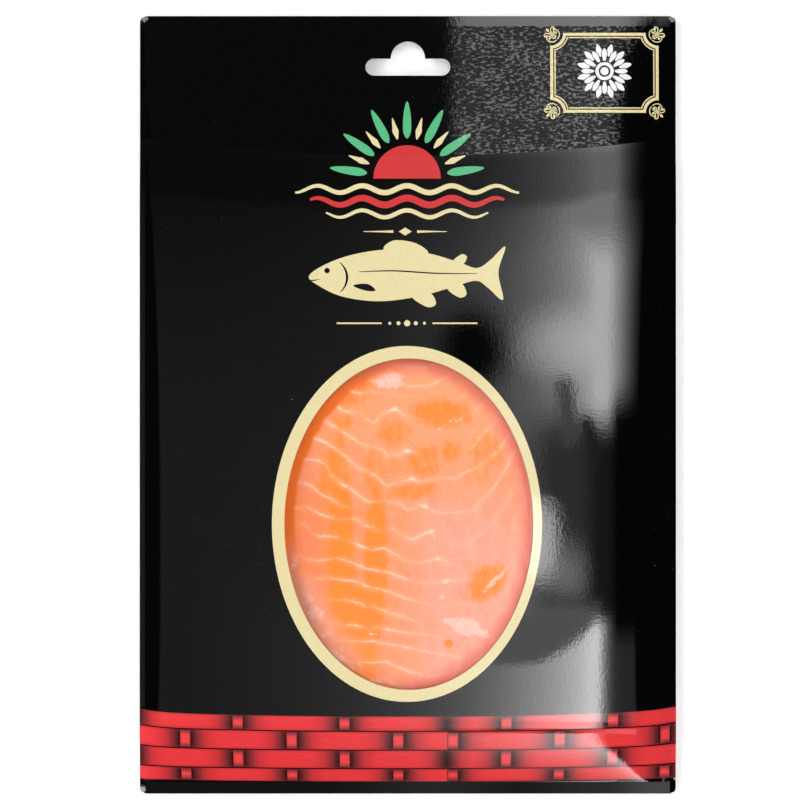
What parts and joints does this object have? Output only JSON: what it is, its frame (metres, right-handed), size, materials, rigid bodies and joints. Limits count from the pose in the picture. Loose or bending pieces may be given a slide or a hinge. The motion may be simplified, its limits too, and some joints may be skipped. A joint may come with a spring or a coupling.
{
  "type": "pack of smoked salmon",
  "caption": "Flat retail pack of sliced smoked salmon: a printed black board sleeve with an oval window and a hang hole, over a sealed clear pouch of slices.",
  "frame": {"origin": "under the middle of the pack, in the plane that its back rests on", "axes": "+Z out of the printed front, +Y along the pack towards the hang hole, +X to the right seen from the front"},
  "size_m": [0.2, 0.29, 0.0102],
  "materials": {
    "printed_board": "black printed board with a gloss varnish, white at its cut edges",
    "salmon_under_film": "orange-pink sliced fish under tight clear film"
  },
  "bodies": {
    "root": {"sleeve": "printed_board", "pouch": "salmon_under_film"}
  },
  "joints": []
}
